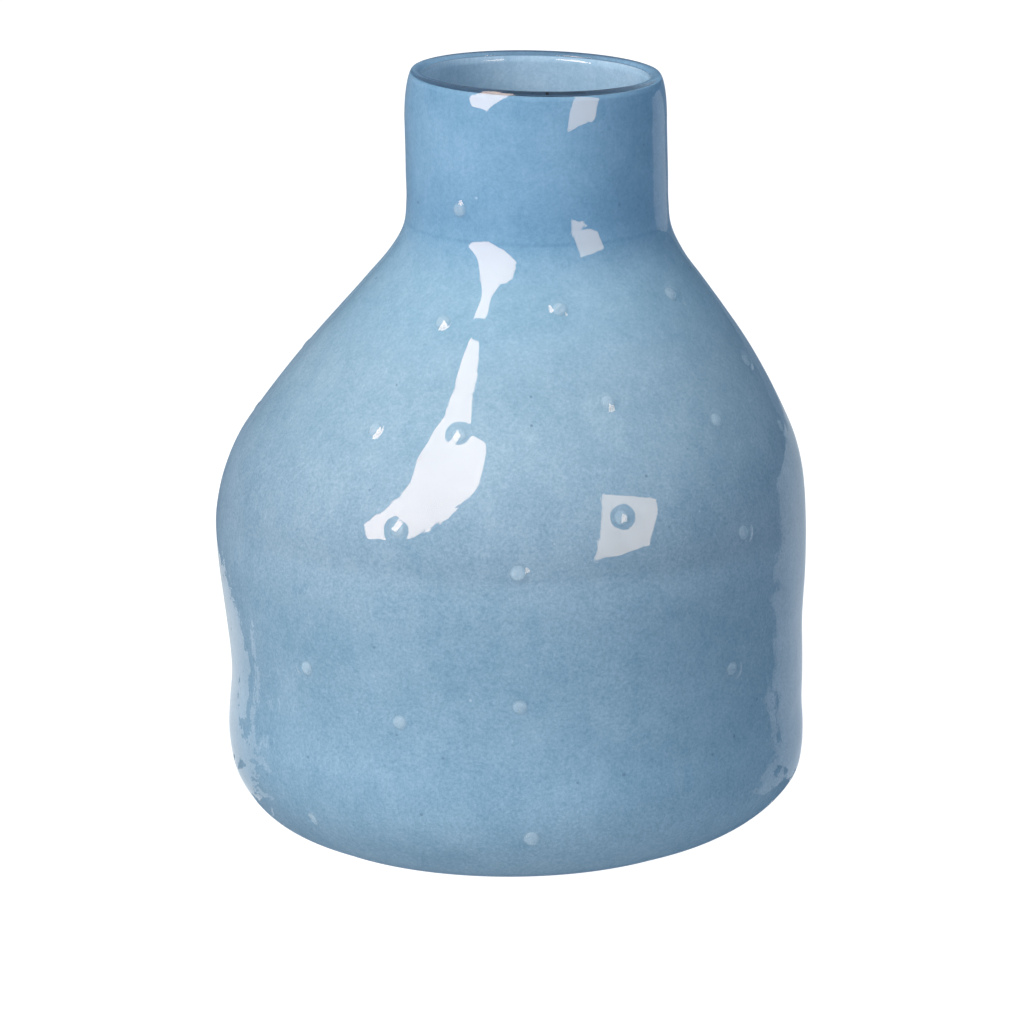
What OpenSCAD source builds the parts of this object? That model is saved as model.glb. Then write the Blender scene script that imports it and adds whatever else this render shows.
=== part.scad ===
// Mouth-blown bottle vase in cased glass, standing on its foot ring, +Z up, in millimetres.
// Three layers of glass are fused together: a clear casing outside, a milky blue layer, and
// a clear layer inside. Small air bubbles are shut in between the casing and the blue layer.
// The origin is on the table, under the middle of the belly. The front of the vase faces -Y.

/* [Overall] */
// Height from the table to the highest point of the lip
vase_height = 221; // [200:1:242]
// Outer radius of the belly where it is widest
belly_radius = 86; // [78:0.5:94]
// Outer radius of the neck
neck_radius = 37.5; // [34:0.5:41]

/* [Hand-made form] */
// How far the neck stands off the belly's axis, towards +X
neck_lean = 6.6; // [0:0.1:9]
// How much the lip is tipped down towards +X, in degrees
lip_tip = 1.2; // [0:0.1:2]
// How tall the rounding of the lip is on its outer side
lip_round_outside = 6; // [4:0.1:8]
// How tall the rounding of the lip is on its inner side
lip_round_inside = 2; // [1:0.1:2.5]

/* [Glass layers] */
// Thickness of the clear casing in the wall
casing_wall = 2.2; // [2:0.1:3]
// Thickness of the milky blue layer
blue_wall = 1.6; // [1.5:0.1:2.5]
// Thickness of the clear layer inside
inner_wall = 1.2; // [0.8:0.1:1.5]
// Height of the inside floor above the table
floor_height = 11; // [10:0.5:14]
// How far below the lip's top the blue layer stops on its outer side
clear_lip = 1.2; // [1:0.1:3]

/* [Foot] */
// Inner radius of the flat ring that the vase stands on
foot_inner_radius = 50; // [44:1:56]
// How high the underside is pushed up in its middle
kick_up = 3.5; // [2:0.5:4]
// Radius of the ground and polished pontil mark
pontil_radius = 13; // [8:1:18]

/* [Air bubbles] */
// Radius of one bubble, which the blowing has flattened into a lens
bubble_radius = 2.2; // [1.5:0.1:2.5]
// Thickness of the lens
bubble_thickness = 1.8; // [1:0.1:2.2]
// How many times the group of bubbles is repeated round the vase
bubble_groups = 2; // [1:1:2]

/* [Smoothness] */
// Flat sides round each glass surface
sides = 40; // [24:4:48]
// Rings between the heel and the lip
wall_rings = 24; // [18:1:32]

/* [Hidden] */

// Outline of the outside: height in percent of the vase's height, and how far the wall has
// swelled from the neck's radius (0) to the belly's (100). A smooth curve joins them.
outline = [
    [0, 55.5], [2.3, 76.5], [6.5, 92.8], [11, 96.7], [18, 95.6], [26, 96.8], [35, 100],
    [43, 99.3], [50, 91.6], [57, 74.3], [64, 52.7], [70, 32], [75, 14], [78, 5],
    [81, 1], [86, 0.3], [100, 0]
];
// How the axis wanders: height in percent, and the share of neck_lean at that height.
axis_path = [
    [0, -0.14], [6, 0.16], [11, 0.18], [15, 0.14], [21, 0.19], [27, 0.1], [35, 0.02], [41, 0],
    [49, 0.15], [56, 0.42], [68, 0.91], [77, 1.1], [87, 1.09], [100, 0.97]
];
// The bubbles seen from the front: height in percent, and the angle from the front in degrees.
bubble_places = [
    [84, -37], [70.5, -31], [72.5, 8], [72.5, 54], [62.5, 75], [58, -36], [58.5, -15],
    [62, 20], [58, 50], [54, 77], [47.5, -23], [43, 1], [49, 21], [44.5, 50],
    [27.5, -44], [22.5, -23], [25.5, 1], [27, 47], [7, -46], [8, 3]
];
// Each repeat of the group stands this much lower, in percent of the height.
group_drop = 1.2;

wall = casing_wall + blue_wall + inner_wall;
lip_top = vase_height - (neck_radius - wall / 2) * tan(lip_tip);
lip_start = lip_top - lip_round_outside;
blue_top = lip_top - clear_lip;
mouth_top = lip_top - lip_round_inside;
lip_steps = 8;
tip_start = 0.8 * vase_height;

// Floors of the three layers, and the height where their round corners reach the wall
casing_floor = floor_height * 0.5;
blue_floor = floor_height * 0.75;
corner_top = 0.125 * vase_height;
corner_width = 26;
corner_steps = 5;

// ---- curves ----

// Steepness of a list of [x, y] stations at station k, from its neighbours
function steepness(list, k) =
    let (a = max(k - 1, 0), b = min(k + 1, len(list) - 1))
    (list[b][1] - list[a][1]) / (list[b][0] - list[a][0]);

// Last station at or before x
function station(list, x) = max([for (k = [0 : len(list) - 2]) if (k == 0 || x >= list[k][0]) k]);

// Value at x of the smooth curve through the stations
function smooth(list, x) =
    let (
        k = station(list, x),
        width = list[k + 1][0] - list[k][0],
        t = (x - list[k][0]) / width
    )
    list[k][1] * (1 + 2 * t) * (1 - t) ^ 2 + list[k + 1][1] * t ^ 2 * (3 - 2 * t)
    + width * (steepness(list, k) * t * (1 - t) ^ 2 - steepness(list, k + 1) * t ^ 2 * (1 - t));

function percent(z) = min(max(100 * z / vase_height, 0), 100);
function outer_radius(z) = neck_radius + (belly_radius - neck_radius) * smooth(outline, percent(z)) / 100;
function axis_x(z) = neck_lean * smooth(axis_path, percent(z));

// Change of the outer radius for each millimetre of height
function slope(z) = (outer_radius(z + 0.5) - outer_radius(z - 0.5));

// Radius at height z of the surface that lies a given depth inside the outer one
function deep_radius(z, depth) = outer_radius(z) - depth * sqrt(1 + slope(z) ^ 2);

// The same surface with its round corner down to a floor
function layer_radius(z, depth, floor_z) =
    z >= corner_top
    ? deep_radius(z, depth)
    : deep_radius(corner_top, depth)
        - corner_width * (1 - sqrt(1 - ((corner_top - z) / (corner_top - floor_z)) ^ 2));

// How much the sections are tipped at height z: none below the neck, all of it at the lip
function tip(z) =
    let (t = min(max((z - tip_start) / (vase_height - tip_start), 0), 1))
    tan(lip_tip) * t ^ 2 * (3 - 2 * t);

// A point of a section: radius r round the axis at height z, at angle a
function skin_point(r, z, a) = [axis_x(z) + r * cos(a), r * sin(a), z - r * cos(a) * tip(z)];

// ---- sections, as [radius, height] from the bottom up ----

// Height where the surface at a given depth ends: the layers' tops slant down to the mouth
function top_at(depth) =
    mouth_top + (blue_top - mouth_top) * (wall - depth) / (wall - casing_wall);

// Heights of the rings from the corner's top to a last height
function wall_heights(top) =
    [for (i = [0 : wall_rings]) corner_top + (top - corner_top) * i / wall_rings];

underside = [
    [0, kick_up + 0.6], [pontil_radius, kick_up], [(pontil_radius + foot_inner_radius) / 2, kick_up * 0.7],
    [foot_inner_radius - 4, kick_up * 0.2], [foot_inner_radius, 0]
];
heel = [for (f = [0, 0.05, 0.13, 0.24, 0.39, 0.58, 0.79]) [outer_radius(f * corner_top), f * corner_top]];
outside = [for (z = wall_heights(lip_start)) [outer_radius(z), z]];
lip = [
    for (i = [1 : lip_steps])
        let (a = 180 * i / lip_steps, round = a < 90 ? lip_round_outside : lip_round_inside)
        [neck_radius - wall / 2 * (1 - cos(a)), lip_top - round * (1 - sin(a))]
];

// The surface at one depth: its floor, its round corner and its wall up to the layers' tops
function layer(depth, floor_z) = concat(
    [[0, floor_z]],
    [
        for (i = [0 : corner_steps - 1])
            let (z = corner_top - (corner_top - floor_z) * cos(90 * i / corner_steps))
            [layer_radius(z, depth, floor_z), z]
    ],
    [for (z = wall_heights(top_at(depth))) [deep_radius(z, depth), z]]
);
casing_inside = layer(casing_wall, casing_floor);
blue_inside = layer(casing_wall + blue_wall, blue_floor);
vase_inside = layer(wall, floor_height);
inner_edge = blue_inside[len(blue_inside) - 1];

function reversed(list) = [for (i = [len(list) - 1 : -1 : 0]) list[i]];

// ---- solids ----

// Closed skin through round sections. The first and last sections are single points.
module glass(sections) {
    last = len(sections) - 1;
    rings = [for (k = [1 : last - 1]) sections[k]];
    count = len(rings);
    points = concat(
        [for (s = rings, i = [0 : sides - 1]) skin_point(s[0], s[1], 360 * i / sides)],
        [skin_point(0, sections[0][1], 0), skin_point(0, sections[last][1], 0)]
    );
    first_point = count * sides;
    last_ring = first_point - sides;
    faces = concat(
        [for (i = [0 : sides - 1]) [first_point, i, (i + 1) % sides]],
        [
            for (k = [0 : count - 2], i = [0 : sides - 1])
                let (j = (i + 1) % sides)
                [k * sides + i, (k + 1) * sides + i, (k + 1) * sides + j, k * sides + j]
        ],
        [for (i = [0 : sides - 1]) [first_point + 1, last_ring + (i + 1) % sides, last_ring + i]]
    );
    polyhedron(points, faces, convexity = 6);
}

// One bubble: the lens that two balls share
module bubble() {
    half = bubble_thickness / 2;
    ball = (bubble_radius ^ 2 + half ^ 2) / (2 * half);
    intersection() {
        translate([0, 0, ball - half])
            sphere(r = ball, $fn = 32);
        translate([0, 0, half - ball])
            sphere(r = ball, $fn = 32);
    }
}

// Every bubble, lying along the face between the casing and the blue layer
module bubbles() {
    for (group = [0 : bubble_groups - 1], place = bubble_places) {
        z = (place[0] - group_drop * group) * vase_height / 100;
        a = place[1] + 360 * group / bubble_groups - 90;
        translate(skin_point(layer_radius(z, casing_wall, casing_floor), z, a))
            rotate([0, 90 + atan(slope(z)), a])
                bubble();
    }
}

module clear_casing() {
    color([0.86, 0.93, 0.97, 0.35])
        difference() {
            glass(concat(underside, heel, outside, lip, [inner_edge], reversed(casing_inside)));
            bubbles();
        }
}

module blue_opal_layer() {
    color([0.48, 0.64, 0.78])
        difference() {
            glass(concat(casing_inside, reversed(blue_inside)));
            bubbles();
        }
}

module inner_clear_layer() {
    color([0.84, 0.91, 0.95, 0.35])
        glass(concat(blue_inside, reversed(vase_inside)));
}

module air_bubbles() {
    color([0.93, 0.97, 1])
        bubbles();
}

clear_casing();
blue_opal_layer();
inner_clear_layer();
air_bubbles();
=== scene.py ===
"""Looks of the mouth-blown bottle vase: three fused layers of glass and the air bubbles between them.

The CAD nodes give the form. This script measures them, builds each layer again as a fine, slightly
uneven skin, and lights it like a plain product picture. Lengths are in metres, angles in degrees.
"""

import math

import bmesh
import bpy
import numpy as np
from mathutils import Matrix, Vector
from mathutils.bvhtree import BVHTree


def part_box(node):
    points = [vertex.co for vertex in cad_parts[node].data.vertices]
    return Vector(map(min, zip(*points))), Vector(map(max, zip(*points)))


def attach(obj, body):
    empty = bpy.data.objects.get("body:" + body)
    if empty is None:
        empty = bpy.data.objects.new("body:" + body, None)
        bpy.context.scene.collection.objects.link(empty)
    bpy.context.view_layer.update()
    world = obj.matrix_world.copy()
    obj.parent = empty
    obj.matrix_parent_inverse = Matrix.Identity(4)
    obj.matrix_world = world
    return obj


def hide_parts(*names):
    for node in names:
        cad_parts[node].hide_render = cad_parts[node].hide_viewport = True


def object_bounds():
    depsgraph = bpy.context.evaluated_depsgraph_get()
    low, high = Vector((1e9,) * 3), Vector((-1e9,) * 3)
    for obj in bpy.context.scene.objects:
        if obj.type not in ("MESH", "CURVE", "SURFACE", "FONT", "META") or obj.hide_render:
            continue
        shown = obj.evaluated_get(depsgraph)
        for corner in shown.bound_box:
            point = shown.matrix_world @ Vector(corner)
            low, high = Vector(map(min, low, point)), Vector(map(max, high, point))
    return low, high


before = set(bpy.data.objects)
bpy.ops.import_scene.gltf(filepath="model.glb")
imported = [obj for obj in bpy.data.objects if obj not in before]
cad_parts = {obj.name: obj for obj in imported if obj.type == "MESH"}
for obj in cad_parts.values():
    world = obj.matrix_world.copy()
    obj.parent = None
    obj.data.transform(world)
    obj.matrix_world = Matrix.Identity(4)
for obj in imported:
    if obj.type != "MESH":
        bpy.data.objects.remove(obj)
cad_low, cad_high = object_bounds()

MM = 0.001
TINY = 1e-7  # shorter than anything that is modelled
CASING, BLUE, INNER, AIR = "clear_casing", "blue_opal_layer", "inner_clear_layer", "air_bubbles"

# ---------------------------------------------------------------- measures taken from the CAD nodes


def points_of(node):
    """The different points of a CAD node's mesh."""
    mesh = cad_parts[node].data
    flat = np.empty(len(mesh.vertices) * 3)
    mesh.vertices.foreach_get("co", flat)
    return np.unique(flat.reshape(-1, 3).round(7), axis=0)


def tree_of(node):
    """A tree of a CAD node's faces, for shooting rays at them."""
    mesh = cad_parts[node].data
    return BVHTree.FromPolygons([v.co for v in mesh.vertices], [p.vertices for p in mesh.polygons])


def bubble_places():
    """The middle of every CAD bubble, and how far a bubble reaches from it."""
    left = points_of(AIR)
    apart = 5 * MM
    centres = []
    reach = 0
    while len(left):
        near = np.linalg.norm(left - left[0], axis=1) < apart
        low, high = left[near].min(0), left[near].max(0)
        centres.append((low + high) / 2)
        reach = max(reach, np.linalg.norm(left[near] - centres[-1], axis=1).max())
        left = left[~near]
    return np.array(centres), reach


def stations(node):
    """Rows of [height, axis x, radius] up a node's outer side.

    They lie on the meridian that the lip's tip leaves alone.
    """
    tree = tree_of(node)
    points = points_of(node)
    points = points[(points[:, 1] > MM) & (points[:, 2] > -MM)]
    for centre in BUBBLES:
        points = points[np.linalg.norm(points - centre, axis=1) > 1.1 * BUBBLE_REACH]
    outward = Vector((0, 1, 0))
    clear_of_skin = 0.05 * MM * outward
    on_skin = [tree.ray_cast(Vector(p) + clear_of_skin, outward)[0] is None for p in points]
    points = points[np.array(on_skin)]
    same_height = 0.2 * MM
    rows = []
    for x, y, z in points:
        level = abs(points[:, 2] - z) < same_height
        if y > points[level, 1].max() - TINY:
            rows.append((z, x, y))
    return np.array(sorted(rows))


def lip_inside_start():
    """The height where the lip starts to round over on its inner side."""
    tree = tree_of(CASING)
    still_straight = neck_radius - wall + 0.03 * MM
    for z in np.arange(blue_top, lip_top, 0.05 * MM) + 0.1 * MM:
        hit = tree.ray_cast(Vector((outer_rows[-1, 1], 0, z)), Vector((0, 1, 0)))[0]
        if hit.y > still_straight:
            return z
    return lip_top


BUBBLES, BUBBLE_REACH = bubble_places()
outer_rows = stations(CASING)
lip_top, _, lip_mid_radius = outer_rows[-1]
in_neck = outer_rows[:, 0] > 0.85 * lip_top
before_lip = outer_rows[:, 2] > outer_rows[in_neck, 2].max() - 0.1 * MM
outer_rows = outer_rows[before_lip | ~in_neck]
lip_start, _, neck_radius = outer_rows[-1]
wall = 2 * (neck_radius - lip_mid_radius)
blue_rows = stations(BLUE)
inner_rows = stations(INNER)
blue_top = blue_rows[-1, 0]
casing_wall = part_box(CASING)[1].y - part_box(BLUE)[1].y
blue_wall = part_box(BLUE)[1].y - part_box(INNER)[1].y
inner_wall = wall - casing_wall - blue_wall
lip_slope = (cad_high.z - lip_top) / lip_mid_radius
tip_start = 0.8 * cad_high.z
inside_floor = tree_of(INNER).ray_cast(Vector((0, 0, 0.5 * cad_high.z)), Vector((0, 0, -1)))[0].z

# ---------------------------------------------------------------- the form as curves


def smooth(x, xs, ys):
    """The smooth cubic curve through the stations xs, ys, its slopes taken from the neighbours."""
    slopes = np.empty(len(xs))
    slopes[1:-1] = (ys[2:] - ys[:-2]) / (xs[2:] - xs[:-2])
    slopes[0] = (ys[1] - ys[0]) / (xs[1] - xs[0])
    slopes[-1] = (ys[-1] - ys[-2]) / (xs[-1] - xs[-2])
    k = np.clip(np.searchsorted(xs, x, side="right") - 1, 0, len(xs) - 2)
    width = xs[k + 1] - xs[k]
    t = np.clip((x - xs[k]) / width, 0, 1)
    rise = slopes[k] * t * (1 - t) ** 2 - slopes[k + 1] * t**2 * (1 - t)
    return ys[k] * (1 + 2 * t) * (1 - t) ** 2 + ys[k + 1] * t**2 * (3 - 2 * t) + width * rise


def axis_x(z):
    """Where the axis stands at height z."""
    return smooth(z, outer_rows[:, 0], outer_rows[:, 1])


def tip(z):
    """How much the sections are tipped at height z."""
    t = np.clip((z - tip_start) / (cad_high.z - tip_start), 0, 1)
    return lip_slope * t**2 * (3 - 2 * t)


def wall_line(rows, depth=0.0):
    """A fine line of [radius, height] up a layer's outer side, moved a depth in along its normal."""
    z = np.linspace(rows[0, 0], rows[-1, 0], 900)
    r = smooth(z, rows[:, 0], rows[:, 2])
    slope = np.gradient(r, z)
    steep = np.sqrt(1 + slope**2)
    return np.column_stack([r - depth / steep, z - depth * slope / steep])


def even(line, step):
    """The same line with points an even step apart."""
    lengths = np.concatenate([[0], np.cumsum(np.linalg.norm(np.diff(line, axis=0), axis=1))])
    at = np.linspace(0, lengths[-1], max(int(round(lengths[-1] / step)), 2) + 1)
    return np.column_stack([np.interp(at, lengths, line[:, k]) for k in range(2)])


def arc(centre, half_width, half_height, start, end, count):
    """Points of an ellipse's arc, as [radius, height]."""
    a = np.radians(np.linspace(start, end, count))
    return np.column_stack([centre[0] + half_width * np.cos(a), centre[1] + half_height * np.sin(a)])


def underside():
    """The line of the pushed-up underside, from the middle out to the foot's outer edge."""
    tree = tree_of(CASING)
    foot = outer_rows[0, 2]
    radii = np.linspace(0, foot, 65)
    under_table = -10 * MM
    heights = []
    for r in radii:
        start = Vector((0, min(r, foot - 0.1 * MM), under_table))
        heights.append(tree.ray_cast(start, Vector((0, 0, 1)))[0].z)
    heights = np.array(heights)
    reach = 3  # points on each side that the softening takes in
    spread = np.ones(2 * reach + 1) / (2 * reach + 1)
    soft = np.convolve(np.pad(heights, reach, mode="edge"), spread, mode="valid")
    return np.column_stack([radii, np.minimum(soft, heights + 0.3 * MM)])


# ---------------------------------------------------------------- hand-made unevenness


def waves(points, wavelength, height, seed, count=14):
    """Gentle unevenness at points: many sine waves of about that length, running every way."""
    rng = np.random.default_rng(seed)
    total = np.zeros(len(points))
    for _ in range(count):
        way = rng.normal(size=3)
        way *= 2 * math.pi / (wavelength * rng.uniform(0.75, 1.35) * np.linalg.norm(way))
        total += np.sin(points @ way + rng.uniform(0, 2 * math.pi))
    return total * height * math.sqrt(2 / count)


def ease(x, low, high):
    """0 below low, 1 above high, smooth between."""
    t = np.clip((x - low) / (high - low), 0, 1)
    return t**2 * (3 - 2 * t)


# The three sizes of unevenness: wavelength and height in mm, and the seed of its waves
UNEVENNESS = [(75, 0.22, 3), (26, 0.055, 8), (9, 0.008, 21)]
EVEN_FOOT = 14 * MM  # the unevenness grows from nothing up to this height
CALM_NECK = 0.55  # share of it that the neck loses


def hand_made(points):
    """How far the blower's tools left the outside off its smooth form."""
    z = points[:, 2]
    off = sum(waves(points, length * MM, height * MM, seed) for length, height, seed in UNEVENNESS)
    return off * ease(z, 0, EVEN_FOOT) * (1 - CALM_NECK * ease(z, 0.75 * lip_top, 0.85 * lip_top))


BUBBLE_HALF_THICKNESS = 0.9 * MM
BLISTER_RADIUS = 3.4 * MM
BLISTER_HEIGHT = 0.7 * MM
BLISTER_FOOT = 0.004  # how softly a blister's dome leaves the skin


def blisters(points, normals_at_bubbles):
    """How far the skin is raised over each bubble: a low dome with a quick foot."""
    off = np.zeros(len(points))
    for centre, normal in zip(BUBBLES, normals_at_bubbles):
        near = np.linalg.norm(points - centre, axis=1) < 3 * BLISTER_RADIUS
        gap = points[near] - centre
        along = gap @ normal
        across = np.linalg.norm(gap - np.outer(along, normal), axis=1)
        dome = 1 - (across / BLISTER_RADIUS) ** 2
        dome = (dome + np.sqrt(dome**2 + BLISTER_FOOT)) / 2
        off[near] += np.where(along > 0, BLISTER_HEIGHT * dome, 0)
    return off


# ---------------------------------------------------------------- skins


class Skin:
    """A closed mesh swept round the axis along lines of [radius, height], each with its material."""

    def __init__(self, name, around, lines, uneven=None, fine=False):
        self.line = np.vstack([lines[0][0][:1]] + [points[1:] for points, _ in lines])
        self.slots = np.concatenate([[slot] * (len(points) - 1) for points, slot in lines])
        self.around = around
        self.uneven = uneven
        tangent = np.gradient(self.line, axis=0)
        tangent /= np.maximum(np.linalg.norm(tangent, axis=1, keepdims=True), 1e-12)
        self.normal = np.column_stack([tangent[:, 1], -tangent[:, 0]])
        self.object = self.build(name, fine)

    def place(self, u, turn, uneven=None):
        """Points on the skin for line positions u, counted in line points, and turns in degrees."""
        steps = np.arange(len(self.line))
        r, z = (np.interp(u, steps, self.line[:, k]) for k in range(2))
        nr, nz = (np.interp(u, steps, self.normal[:, k]) for k in range(2))
        a = np.radians(turn)
        points = np.column_stack([axis_x(z) + r * np.cos(a), r * np.sin(a), z - r * np.cos(a) * tip(z)])
        if uneven is not None:
            normals = np.column_stack([nr * np.cos(a), nr * np.sin(a), nz])
            points = points + normals * uneven(points, r)[:, None]
        return points

    def build(self, name, fine):
        """The mesh: a grid over line position and turn, made finer if asked, wrapped round the axis."""
        bm = bmesh.new()
        rings = len(self.line)
        grid = []
        for k in range(rings):
            grid.append([bm.verts.new((k, i * 360 / self.around, 0)) for i in range(self.around + 1)])
        for k in range(rings - 1):
            for i in range(self.around):
                corners = (grid[k][i], grid[k][i + 1], grid[k + 1][i + 1], grid[k + 1][i])
                face = bm.faces.new(corners)
                face.material_index = int(self.slots[k])
                face.smooth = True
        if fine:
            self.refine(bm)
        mesh = bpy.data.meshes.new(name)
        bm.to_mesh(mesh)
        bm.free()
        flat = np.empty(len(mesh.vertices) * 3)
        mesh.vertices.foreach_get("co", flat)
        flat = flat.reshape(-1, 3)
        places = self.place(flat[:, 0], flat[:, 1] % 360, self.uneven)
        mesh.vertices.foreach_set("co", places.ravel())
        bm = bmesh.new()
        bm.from_mesh(mesh)
        bmesh.ops.remove_doubles(bm, verts=bm.verts, dist=TINY)
        bmesh.ops.dissolve_degenerate(bm, dist=0.1 * TINY, edges=bm.edges)
        bm.to_mesh(mesh)
        bm.free()
        mesh.update()
        thing = bpy.data.objects.new(name, mesh)
        bpy.context.scene.collection.objects.link(thing)
        return thing

    def refine(self, bm):
        """Cuts the grid finer where a bubble lifts it."""
        bm.faces.ensure_lookup_table()
        middles = np.array([f.calc_center_median()[:] for f in bm.faces])
        places = self.place(middles[:, 0], middles[:, 1])
        near = np.zeros(len(places), bool)
        for centre in BUBBLES:
            near |= np.linalg.norm(places - centre, axis=1) < BLISTER_RADIUS + casing_wall
        edges = {e for f, close in zip(bm.faces, near) if close for e in f.edges}
        bmesh.ops.subdivide_edges(bm, edges=list(edges), cuts=2, use_grid_fill=True)


GLASS, FUSED = 0, 1
MILK, INNER_MILK = 0, 1
seam = 0.05 * MM  # the milk keeps this far from the clear layers' unseen faces
step = 1.0 * MM
FINE_ROUND, ROUND = 480, 240  # faces round the casing and round the other layers

wall_outside = wall_line(outer_rows)
lip_inside = lip_inside_start()
lip_outer_side = arc((lip_mid_radius, lip_start), wall / 2, lip_top - lip_start, 0, 90, 40)
lip_inner_side = arc((lip_mid_radius, lip_inside), wall / 2, lip_top - lip_inside, 90, 180, 30)
rounded_lip = np.vstack([lip_outer_side, lip_inner_side[1:]])
mouth_edge = rounded_lip[-1]
outside_line = np.vstack([underside()[:-1], wall_outside])
casing_inside = wall_line(blue_rows)[::-1] + [seam, 0]
inner_outside = wall_line(inner_rows) - [seam, 0]


def bubble_normals():
    """Outward directions of the wall at each bubble."""
    line = wall_line(outer_rows)
    z = BUBBLES[:, 2]
    slope = np.interp(z, line[:, 1], np.gradient(line[:, 0], line[:, 1]))
    turn = np.arctan2(BUBBLES[:, 1], BUBBLES[:, 0] - axis_x(z))
    normals = np.column_stack([np.cos(turn), np.sin(turn), -slope])
    return normals / np.linalg.norm(normals, axis=1, keepdims=True)


BUBBLE_NORMALS = bubble_normals()


def outside_unevenness(points, radii):
    """Unevenness of the casing: only its outer side, its lip a little, and none on its inner face."""
    z = points[:, 2]
    skin = np.interp(z, wall_outside[:, 1], wall_outside[:, 0])
    shell = np.clip(1 - (skin - radii) / (0.5 * casing_wall), 0, 1)
    return hand_made(points) * shell + blisters(points, BUBBLE_NORMALS) * shell


def closed(line):
    """The line with its end brought to the axis at the same height."""
    return np.vstack([line, [[0, line[-1, 1]]]])


casing = Skin(
    CASING + "_glass",
    FINE_ROUND,
    [
        (even(outside_line, step), GLASS),
        (even(rounded_lip, 0.3 * step), GLASS),
        (even(np.array([mouth_edge, inner_outside[-1], casing_inside[0]]), 0.4 * step), FUSED),
        (even(closed(casing_inside), 2.5 * step), FUSED),
    ],
    uneven=outside_unevenness,
    fine=True,
).object

blue_outside = wall_line(blue_rows)
blue_outside = blue_outside[blue_outside[:, 1] <= blue_rows[-1, 0] - 2 * seam]
blue_inside = wall_line(inner_rows)
blue_inside = blue_inside[blue_inside[:, 1] <= inner_rows[-1, 0] - 2 * seam][::-1]
blue = Skin(
    BLUE + "_glass",
    ROUND,
    [
        (even(np.vstack([[[0, blue_outside[0, 1]]], blue_outside]), 1.6 * step), MILK),
        (even(np.array([blue_outside[-1], blue_inside[0]]), step), MILK),
        (even(closed(blue_inside), 1.6 * step), INNER_MILK),
    ],
).object

vase_inside = wall_line(inner_rows, inner_wall)
vase_inside = vase_inside[(vase_inside[:, 1] > inside_floor) & (vase_inside[:, 1] < mouth_edge[1])]
vase_inside = np.vstack([vase_inside, [mouth_edge]])[::-1]
inner = Skin(
    INNER + "_glass",
    ROUND,
    [
        (even(np.vstack([[[0, inner_outside[0, 1]]], inner_outside]), 2.5 * step), FUSED),
        (even(np.array([inner_outside[-1], vase_inside[0]]), step), FUSED),
        (even(closed(vase_inside), 1.6 * step), GLASS),
    ],
).object


def all_bubbles():
    """Every bubble in one mesh: each a flat ball along the wall, with a painted reflection thickest at
    its middle.
    """
    ball = bmesh.new()
    bmesh.ops.create_uvsphere(ball, u_segments=32, v_segments=20, radius=1)
    ball.verts.index_update()
    unit = np.array([v.co for v in ball.verts])
    faces = [[v.index for v in f.verts] for f in ball.faces]
    ball.free()
    points, all_faces = [], []
    for centre, normal in zip(BUBBLES, BUBBLE_NORMALS):
        turn = np.array(Vector((0, 0, 1)).rotation_difference(Vector(normal)).to_matrix())
        start = len(points) * len(unit)
        points.append(centre + unit * [BUBBLE_REACH, BUBBLE_REACH, BUBBLE_HALF_THICKNESS] @ turn.T)
        all_faces += [[start + k for k in face] for face in faces]
    mesh = bpy.data.meshes.new(AIR + "_skins")
    mesh.from_pydata(np.vstack(points), [], all_faces)
    mesh.shade_smooth()
    reflection_weight = mesh.attributes.new("reflection_weight", "FLOAT", "POINT")
    reflection_weight.data.foreach_set("value", np.tile(np.abs(unit[:, 2]), len(BUBBLES)))
    thing = bpy.data.objects.new(AIR + "_skins", mesh)
    bpy.context.scene.collection.objects.link(thing)
    return thing


air = all_bubbles()

# ---------------------------------------------------------------- materials


class Nodes:
    """Short calls for building one material's nodes."""

    def __init__(self, name):
        self.material = bpy.data.materials.new(name)
        self.material.use_nodes = True
        self.tree = self.material.node_tree
        self.tree.nodes.clear()
        self.out = self.add("ShaderNodeOutputMaterial")

    def add(self, kind, inputs=None, **settings):
        """A node with its settings and its inputs: a value, or another node's output to link."""
        node = self.tree.nodes.new(kind)
        for key, value in settings.items():
            setattr(node, key, value)
        for key, value in (inputs or {}).items():
            if isinstance(value, bpy.types.NodeSocket):
                self.tree.links.new(value, node.inputs[key])
            else:
                node.inputs[key].default_value = value
        return node

    def noise(self, where, scale, detail=2.0, rough=0.5):
        """A noise's value, about 0 to 1 round 0.5, with about that many waves in a metre."""
        inputs = {"Vector": where, "Scale": scale, "Detail": detail, "Roughness": rough}
        return self.add("ShaderNodeTexNoise", inputs).outputs["Fac"]

    def reach(self, value, low, high, to_low=0.0, to_high=1.0):
        """The value spread from low..high to to_low..to_high, and held there."""
        node = self.add(
            "ShaderNodeMapRange",
            {"Value": value, "From Min": low, "From Max": high, "To Min": to_low, "To Max": to_high},
        )
        return node.outputs["Result"]

    def math(self, operation, a, b=0.0):
        return self.add("ShaderNodeMath", {0: a, 1: b}, operation=operation).outputs[0]

    def mix(self, share, a, b, blend="MIX"):
        """Colour a, going to colour b as share goes to 1, or to a times b."""
        node = self.add("ShaderNodeMix", data_type="RGBA", blend_type=blend)
        for key, value in (("Factor_Float", share), ("A_Color", a), ("B_Color", b)):
            socket = next(s for s in node.inputs if s.identifier == key)
            if isinstance(value, bpy.types.NodeSocket):
                self.tree.links.new(value, socket)
            else:
                socket.default_value = value
        return next(s for s in node.outputs if s.identifier == "Result_Color")

    def ramp(self, value, stops):
        """A colour that goes smoothly through stops of (position, colour)."""
        node = self.add("ShaderNodeValToRGB", {"Fac": value})
        node.color_ramp.interpolation = "EASE"
        for _ in stops[2:]:
            node.color_ramp.elements.new(1)
        for element, (position, colour) in zip(node.color_ramp.elements, stops):
            element.position = position
            element.color = (*colour, 1)
        return node.outputs["Color"]

    def finish(self, shader):
        self.tree.links.new(shader, self.out.inputs["Surface"])
        return self.material


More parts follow.
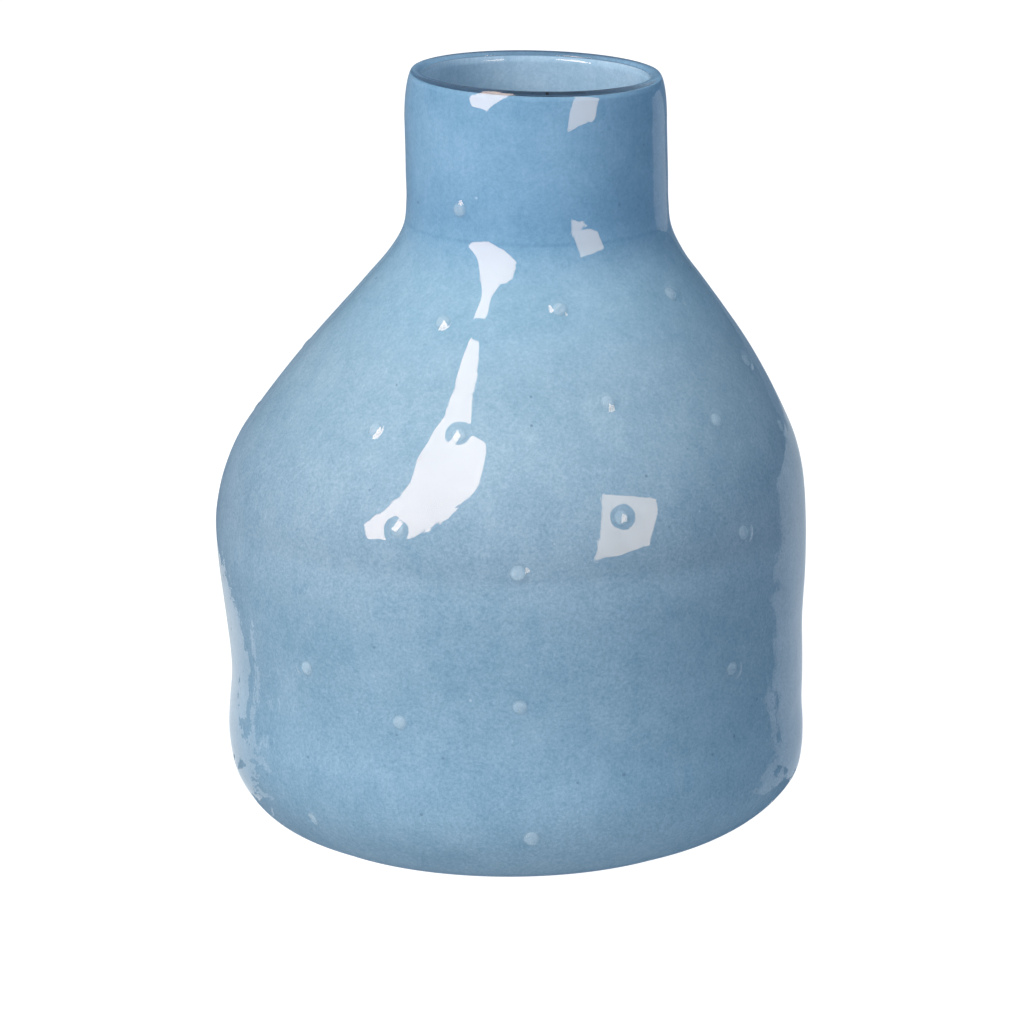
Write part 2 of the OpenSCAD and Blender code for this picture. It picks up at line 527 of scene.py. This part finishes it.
def clear_glass(name, ior, tint, ripple):
    """Clear glass: sharp, a little rippled, and passed straight through by light for the milk."""
    n = Nodes(name)
    where = n.add("ShaderNodeTexCoord").outputs["Object"]
    patches = n.reach(n.noise(where, 45, 2), 0.45, 0.65, 0.15, 1)
    height = n.math("MULTIPLY", n.noise(where, 260, 3), patches)
    bump = n.add("ShaderNodeBump", {"Strength": 1.0, "Distance": ripple, "Height": height})
    rough = n.reach(n.noise(where, 60, 2), 0.45, 0.75, 0.0, 0.02)
    glass = n.add(
        "ShaderNodeBsdfPrincipled",
        {
            "Base Color": tint,
            "Transmission Weight": 1.0,
            "IOR": ior,
            "Roughness": rough,
            "Normal": bump.outputs["Normal"],
        },
    )
    path = n.add("ShaderNodeLightPath")
    through = n.math("MAXIMUM", path.outputs["Is Shadow Ray"], path.outputs["Is Diffuse Ray"])
    clear = n.add("ShaderNodeBsdfTransparent", {"Color": tint})
    mixed = n.add("ShaderNodeMixShader", {0: through, 1: glass.outputs[0], 2: clear.outputs[0]})
    return n.finish(mixed.outputs[0])


def fused(name):
    """The unseen face where two layers of the same glass are fused."""
    n = Nodes(name)
    return n.finish(n.add("ShaderNodeBsdfTransparent").outputs[0])


# The milky layer's colour up the vase, by share of its height. It is partly the glass's own colour and
# partly painted light and shade: lighter on the shoulder, darker low on the body and in the neck.
OUTER_BLUES = [
    (0.00, (0.33, 0.50, 0.63)),
    (0.06, (0.31, 0.475, 0.61)),
    (0.13, (0.265, 0.415, 0.545)),
    (0.30, (0.27, 0.41, 0.53)),
    (0.45, (0.295, 0.415, 0.52)),
    (0.62, (0.335, 0.475, 0.58)),
    (0.72, (0.305, 0.47, 0.59)),
    (0.83, (0.215, 0.385, 0.55)),
    (0.92, (0.24, 0.41, 0.57)),
]
INNER_BLUES = [(0.0, (0.34, 0.46, 0.57)), (1.0, (0.43, 0.59, 0.73))]
NECK_FOOT = 0.8  # share of the height where a faint line of painted shade runs round the crease at the foot of the neck


def milky(name, blues, glow_share):
    """Milk glass: clouds, a fine powder, drawn streaks, dark and light specks, and a painted line of
    shade round the foot of the neck.
    """
    n = Nodes(name)
    where = n.add("ShaderNodeTexCoord").outputs["Object"]
    height = n.add("ShaderNodeSeparateXYZ", {0: where}).outputs["Z"]
    drawn = n.add("ShaderNodeMapping", {"Vector": where, "Scale": (1, 1, 0.12)}).outputs[0]
    clouds = n.noise(where, 34, 8, 0.92)
    powder = n.noise(where, 1100, 3, 0.9)
    streaks = n.noise(drawn, 260, 3, 0.7)
    # the colour up the height; for the outer layer it holds painted light and shade
    base = n.ramp(n.math("DIVIDE", height, cad_high.z), blues)
    shade = n.mix(n.reach(clouds, 0.36, 0.64), (0.81, 0.88, 0.91, 1), (1.19, 1.12, 1.09, 1))
    grain = n.mix(n.reach(powder, 0.32, 0.68), (0.77, 0.83, 0.86, 1), (1.23, 1.17, 1.14, 1))
    base = n.mix(1, base, shade, "MULTIPLY")
    powdered = n.reach(height, 0.45 * cad_high.z, 0.7 * cad_high.z, 1, 0.6)
    base = n.mix(powdered, base, grain, "MULTIPLY")
    base = n.mix(n.reach(streaks, 0.5, 0.75, 0, 0.5), base, (0.84, 0.9, 0.94, 1), "MULTIPLY")
    # painted shade: a faint darker line round the crease at the foot of the neck
    off_line = n.math("ABSOLUTE", n.math("SUBTRACT", height, NECK_FOOT * cad_high.z))
    base = n.mix(n.reach(off_line, 0, 0.9 * MM, 0.35, 0), base, (0.6, 0.72, 0.8, 1), "MULTIPLY")
    speck = n.add("ShaderNodeTexVoronoi", {"Vector": where, "Scale": 160}, feature="F1")
    chance = n.add("ShaderNodeSeparateColor", {0: speck.outputs["Color"]})
    away = speck.outputs["Distance"]
    dark = n.math("LESS_THAN", away, n.reach(chance.outputs[0], 0.3, 1, 0.0, 0.09))
    light = n.math("LESS_THAN", away, n.reach(chance.outputs[1], 0.85, 1, 0.0, 0.07))
    base = n.mix(n.math("MULTIPLY", dark, 0.5), base, (0.10, 0.18, 0.28, 1))
    base = n.mix(n.math("MULTIPLY", light, 0.35), base, (0.75, 0.85, 0.90, 1))
    matt = {"Base Color": base, "Roughness": 0.6, "Specular IOR Level": 0.0}
    surface = n.add("ShaderNodeBsdfPrincipled", matt)
    glow = n.add("ShaderNodeBsdfTranslucent", {"Color": base})
    mixed = n.add("ShaderNodeMixShader", {0: glow_share, 1: surface.outputs[0], 2: glow.outputs[0]})
    return n.finish(mixed.outputs[0])


def bubble_painted_reflection():
    """A bubble's skin: a pale painted reflection that thins out to nothing at the rim."""
    n = Nodes("trapped_air_painted_reflection")
    where = n.add("ShaderNodeTexCoord").outputs["Object"]
    reflection_weight = n.math("POWER", n.add("ShaderNodeAttribute", attribute_name="reflection_weight").outputs["Fac"], 2)
    cloud = n.reach(n.noise(where, 900, 3), 0.35, 0.65)
    # pale colour painted in for the light that each bubble's skin reflects
    milk = n.mix(cloud, (0.46, 0.58, 0.67, 1), (0.60, 0.70, 0.77, 1))
    pale = n.add("ShaderNodeBsdfDiffuse", {"Color": milk})
    clear = n.add("ShaderNodeBsdfTransparent")
    share = n.reach(reflection_weight, 0.05, 0.75, 0, 0.36)
    mixed = n.add("ShaderNodeMixShader", {0: share, 1: clear.outputs[0], 2: pale.outputs[0]})
    return n.finish(mixed.outputs[0])


clear = clear_glass("clear_casing_glass", 1.5, (0.97, 0.99, 1.0, 1), 0.06 * MM)
clear_inside = clear_glass("inner_clear_glass", 1.5, (0.97, 0.99, 1.0, 1), 0.06 * MM)
hidden_face = fused("fused_face")
casing.data.materials.append(clear)
casing.data.materials.append(hidden_face)
inner.data.materials.append(clear_inside)
inner.data.materials.append(hidden_face)
blue.data.materials.append(milky("milky_blue_glass", OUTER_BLUES, 0.3))
blue.data.materials.append(milky("milky_blue_inner_face", INNER_BLUES, 0.3))
air.data.materials.append(bubble_painted_reflection())

for thing, node, slot in (
    (casing, CASING, "clear_glass"),
    (blue, BLUE, "blue_opal_glass"),
    (inner, INNER, "inner_clear_glass"),
    (air, AIR, "trapped_air"),
):
    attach(thing, "root")
    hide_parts(node)

# ---------------------------------------------------------------- studio


def towards(azimuth, elevation, distance):
    """A point that far from the vase's middle. Azimuth 0 is its front, 90 the front's right."""
    a, e = math.radians(azimuth), math.radians(elevation)
    middle = Vector((0, 0, 0.5 * cad_high.z))
    way = Vector((math.sin(a) * math.cos(e), -math.cos(a) * math.cos(e), math.sin(e)))
    return middle + distance * way


def glow(name, strength, tint):
    """A light panel's surface."""
    n = Nodes(name)
    return n.finish(n.add("ShaderNodeEmission", {"Color": tint, "Strength": strength}).outputs[0])


PANEL_DISTANCE = 1.6


def panel(name, corners, strength, tint, reflected):
    """A light panel with these corners, which is either seen in the glass or lights the milk."""
    mesh = bpy.data.meshes.new(name)
    points = [towards(azimuth, elevation, PANEL_DISTANCE) for azimuth, elevation in corners]
    mesh.from_pydata(points, [], [range(len(points))])
    mesh.materials.append(glow(name, strength, tint))
    thing = bpy.data.objects.new(name, mesh)
    thing.visible_camera = False
    thing.visible_shadow = False
    thing.visible_diffuse = not reflected
    thing.visible_glossy = thing.visible_transmission = reflected
    bpy.context.scene.collection.objects.link(thing)


# The panels' corners, as azimuth and elevation
KEY = [
    (-57, 11), (-42, 9.5), (-30, 22), (-19, 43), (-24, 50), (-37, 52.5), (-42, 57),
    (-52, 60), (-60, 59), (-56, 53), (-55.5, 46), (-55, 34), (-61, 18),
]  # fmt: skip
KEY_LIGHT = [(-57, 11), (-40, 9), (-25, 22), (-20, 44), (-24, 50), (-50, 57), (-66, 60)]
WINDOW = [(28, -2), (47, 1), (53, 2), (59, 22), (38, 34), (33, 16)]
panel("key_reflection", KEY, 12.5, (1, 0.74, 0.58, 1), True)
panel("key_light", KEY_LIGHT, 10, (1, 0.97, 0.93, 1), False)
panel("window_reflection", WINDOW, 7.5, (1, 0.77, 0.57, 1), True)
panel("window_light", WINDOW, 4, (0.84, 0.94, 1, 1), False)


DIM = (0.11, 0.17, 0.25, 1)
OVERHEAD = (0.6, 0.68, 0.76, 1)
WHITE = (1, 1, 1, 1)


def studio_air():
    """Dim, cool surroundings that grow brighter overhead. The camera itself sees them white."""
    world = bpy.data.worlds.new("studio")
    world.use_nodes = True
    tree = world.node_tree
    way = tree.nodes.new("ShaderNodeTexCoord").outputs["Generated"]
    split = tree.nodes.new("ShaderNodeSeparateXYZ")
    tree.links.new(way, split.inputs[0])
    ramp = tree.nodes.new("ShaderNodeValToRGB")
    ramp.color_ramp.interpolation = "EASE"
    for element, position, colour in zip(ramp.color_ramp.elements, (0.1, 1.0), (DIM, OVERHEAD)):
        element.position = position
        element.color = colour
    tree.links.new(split.outputs["Z"], ramp.inputs["Fac"])
    around = tree.nodes["Background"]
    tree.links.new(ramp.outputs["Color"], around.inputs["Color"])
    white = tree.nodes.new("ShaderNodeBackground")
    white.inputs["Color"].default_value = WHITE
    seen = tree.nodes.new("ShaderNodeLightPath").outputs["Is Camera Ray"]
    either = tree.nodes.new("ShaderNodeMixShader")
    tree.links.new(seen, either.inputs[0])
    tree.links.new(around.outputs[0], either.inputs[1])
    tree.links.new(white.outputs[0], either.inputs[2])
    tree.links.new(either.outputs[0], tree.nodes["World Output"].inputs["Surface"])
    return world


bpy.context.scene.world = studio_air()


# The sheet that lies on the table behind the vase is where x * a + y * b + c is over 0 for every side
SHEET_SIDES = [(-1, 1.4, 0.14), (1, 0.27, 0.15), (1.2, -1, 0.45), (0, 1, 0)]
TORN = 0.08  # how far the sheet's torn edge wanders
POOL = (-0.06, -0.17, 0)  # the middle of the pool of light in front of the vase


def sheet_share(n, where):
    """1 on the sheet and 0 off it, with a torn edge."""
    inside = 1.0
    for a, b, c in SHEET_SIDES:
        across = n.add("ShaderNodeVectorMath", {0: where, 1: (a, b, 0)}, operation="DOT_PRODUCT")
        inside = n.math("MINIMUM", inside, n.math("ADD", across.outputs["Value"], c))
    torn = n.reach(n.noise(where, 26, 4, 0.65), 0.25, 0.75, -TORN, TORN)
    return n.reach(n.math("ADD", inside, torn), -0.002, 0.002)


def sheet_colour(n, x, y):
    """The sheet: paler to the left, and darker right behind the vase than to its sides."""
    aside = n.reach(n.math("DIVIDE", n.math("ABSOLUTE", x), n.math("MAXIMUM", y, 0.05)), 0.1, 1.0)
    left = n.mix(aside, (0.33, 0.37, 0.40, 1), (0.66, 0.70, 0.74, 1))
    right = n.mix(aside, (0.27, 0.33, 0.38, 1), (0.48, 0.56, 0.65, 1))
    return n.mix(n.reach(x, -0.02, 0.02), left, right)


def pale_floor():
    """A white table with a sheet on it, behind the vase, and a pool of light in front.

    The camera sees all of it white. The glass mirrors a dim table and the sheet. The milk is lit by
    the table, brighter to the left, and by the pool.
    """
    n = Nodes("pale_floor")
    where = n.add("ShaderNodeTexCoord").outputs["Object"]
    split = n.add("ShaderNodeSeparateXYZ", {0: where})
    x, y = split.outputs["X"], split.outputs["Y"]
    distance = n.add("ShaderNodeVectorMath", {0: where}, operation="LENGTH").outputs["Value"]
    far = n.reach(distance, 0.15, 1.1)
    table = n.mix(far, (0.06, 0.12, 0.20, 1), DIM)
    mirrored = n.mix(sheet_share(n, where), table, sheet_colour(n, x, y))
    near = n.mix(n.reach(x, -0.2, 0.25), (0.52, 0.56, 0.60, 1), (0.03, 0.08, 0.15, 1))
    from_pool = n.add("ShaderNodeVectorMath", {0: where, 1: POOL}, operation="DISTANCE")
    pool = n.reach(from_pool.outputs["Value"], 0.05, 0.29, 1, 0)
    lighting = n.mix(pool, n.mix(far, near, DIM), (0.53, 0.48, 0.43, 1), "ADD")
    path = n.add("ShaderNodeLightPath")
    shown = n.mix(path.outputs["Is Diffuse Ray"], mirrored, lighting)
    shown = n.mix(path.outputs["Is Camera Ray"], shown, WHITE)
    bright = n.add("ShaderNodeEmission", {"Color": shown, "Strength": 1.0})
    paint = n.add("ShaderNodeBsdfDiffuse", {"Color": (0.13, 0.14, 0.15, 1)})
    both = n.add("ShaderNodeAddShader", {0: paint.outputs[0], 1: bright.outputs[0]})
    n.material.cycles.emission_sampling = "NONE"
    return n.finish(both.outputs[0])


bpy.ops.mesh.primitive_plane_add(size=12, location=(0, 0, cad_low.z))
ground = bpy.context.object
ground.name = "pale_floor"
ground.data.materials.append(pale_floor())

LOOK_DOWN = 14.91
camera_data = bpy.data.cameras.new("camera")
camera = bpy.data.objects.new("camera", camera_data)
bpy.context.scene.collection.objects.link(camera)
camera_data.sensor_width = 36
camera_data.lens = 168.2
camera.location = (0, -1.35, 0.4495)
camera.rotation_euler = (math.radians(90 - LOOK_DOWN), 0, 0)
bpy.context.scene.camera = camera
bpy.context.scene.view_settings.view_transform = "Standard"
